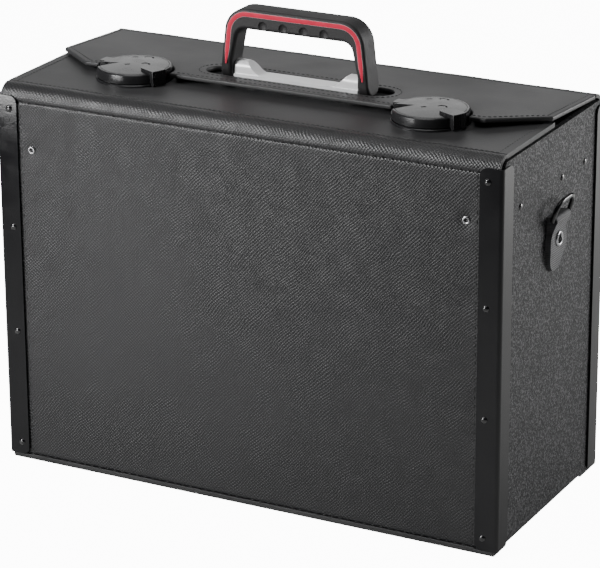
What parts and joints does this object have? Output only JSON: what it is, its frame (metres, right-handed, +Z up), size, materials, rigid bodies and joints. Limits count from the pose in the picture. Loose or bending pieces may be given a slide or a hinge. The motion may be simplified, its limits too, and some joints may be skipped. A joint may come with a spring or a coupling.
{
  "type": "tool case",
  "caption": "Upright tool case of boards in riveted corner profiles, with a leather-hinged lid over a front flap, turning latches and a tilting carry handle.",
  "frame": {"origin": "on the floor under the middle of the case", "axes": "+X along the front towards its right end, +Y from the front to the rear hinge, +Z up"},
  "size_m": [0.483, 0.21, 0.398],
  "materials": {
    "grained_leather": "embossed cross-hatch grain, satin",
    "smooth_leather": "fine grain, satin, bright cut edges",
    "edging_leather": "dense grain, satin",
    "sparkle_plastic": "granular, lightly sparkling",
    "profile_black": "black, semi-gloss",
    "base_black": "plain, matte",
    "rail_metal": "mill finish",
    "eyelet_black": "black, glossy rim",
    "lining_cloth": "short pile",
    "handle_black": "fine satin",
    "stripe_red": "smooth, matte",
    "pin_steel": "turned",
    "base_silver": "cast, polished",
    "hidden_steel": "zinc plated",
    "latch_black": "satin black, bright rim",
    "ring_black": "glossy black wire",
    "tab_leather": "ribbed leaf, smooth fold"
  },
  "bodies": {
    "case_body": {"backing_plate": "hidden_steel", "base_board": "base_black", "base_screws": "hidden_steel", "corner_profile_front_left": "profile_black", "corner_profile_front_right": "profile_black", "corner_profile_rear_left": "profile_black", "corner_profile_rear_right": "profile_black", "edge_strip_front": "edging_leather", "edge_strip_rear": "edging_leather", "flap_board": "smooth_leather", "front_eyelets": "eyelet_black", "front_panel": "grained_leather", "front_roll": "grained_leather", "handle_base": "base_silver", "inner_lining": "lining_cloth", "latch_backplate_left": "hidden_steel", "latch_backplate_right": "hidden_steel", "latch_base_left": "latch_black", "latch_base_right": "latch_black", "latch_screws_left": "hidden_steel", "latch_screws_right": "hidden_steel", "latch_washer_left": "hidden_steel", "latch_washer_right": "hidden_steel", "profile_rivets": "profile_black", "rear_panel": "grained_leather", "rear_roll": "smooth_leather", "side_panel_left": "sparkle_plastic", "side_panel_right": "sparkle_plastic", "side_rail_left": "rail_metal", "side_rail_right": "rail_metal", "side_rivets": "profile_black", "strap_tab_left": "tab_leather", "strap_tab_right": "tab_leather", "tab_eyelets": "eyelet_black"},
    "lid": {"lid_board": "smooth_leather"},
    "handle": {"handle_front_shell": "handle_black", "handle_rear_shell": "handle_black", "handle_stripe_front": "stripe_red", "handle_stripe_rear": "stripe_red", "handle_screws": "pin_steel", "pivot_pin_left": "pin_steel", "pivot_pin_right": "pin_steel"},
    "latch_left": {"latch_knob_left": "latch_black", "latch_clip_left": "hidden_steel"},
    "latch_right": {"latch_knob_right": "latch_black", "latch_clip_right": "hidden_steel"},
    "ring_left": {"strap_ring_left": "ring_black"},
    "ring_right": {"strap_ring_right": "ring_black"}
  },
  "joints": [
    {"name": "lid_hinge", "type": "hinge", "parent": "case_body", "child": "lid", "pos_m": [0, 0.0975, 0.327], "axis": [-1, 0, 0], "range_deg": [0, 109], "deforming": ["rear_roll"]},
    {"name": "handle_tilt", "type": "hinge", "parent": "case_body", "child": "handle", "pos_m": [0, 0, 0.3455], "axis": [-1, 0, 0], "range_deg": [0, 87.5]},
    {"name": "latch_turn_left", "type": "hinge", "parent": "case_body", "child": "latch_left", "pos_m": [-0.136, -0.0352, 0.34], "axis": [0, 0, -1], "range_deg": [0, 80]},
    {"name": "latch_turn_right", "type": "hinge", "parent": "case_body", "child": "latch_right", "pos_m": [0.136, -0.0352, 0.34], "axis": [0, 0, -1], "range_deg": [0, 80]},
    {"name": "ring_swing_left", "type": "hinge", "parent": "case_body", "child": "ring_left", "pos_m": [-0.234, 0, 0.258], "axis": [0, -1, 0], "range_deg": [-25, 130]},
    {"name": "ring_swing_right", "type": "hinge", "parent": "case_body", "child": "ring_right", "pos_m": [0.234, 0, 0.258], "axis": [0, 1, 0], "range_deg": [-25, 130]}
  ],
  "couplings": [
    {"joint": "handle_tilt", "follows": "lid_hinge", "ratio": 0.8}
  ]
}
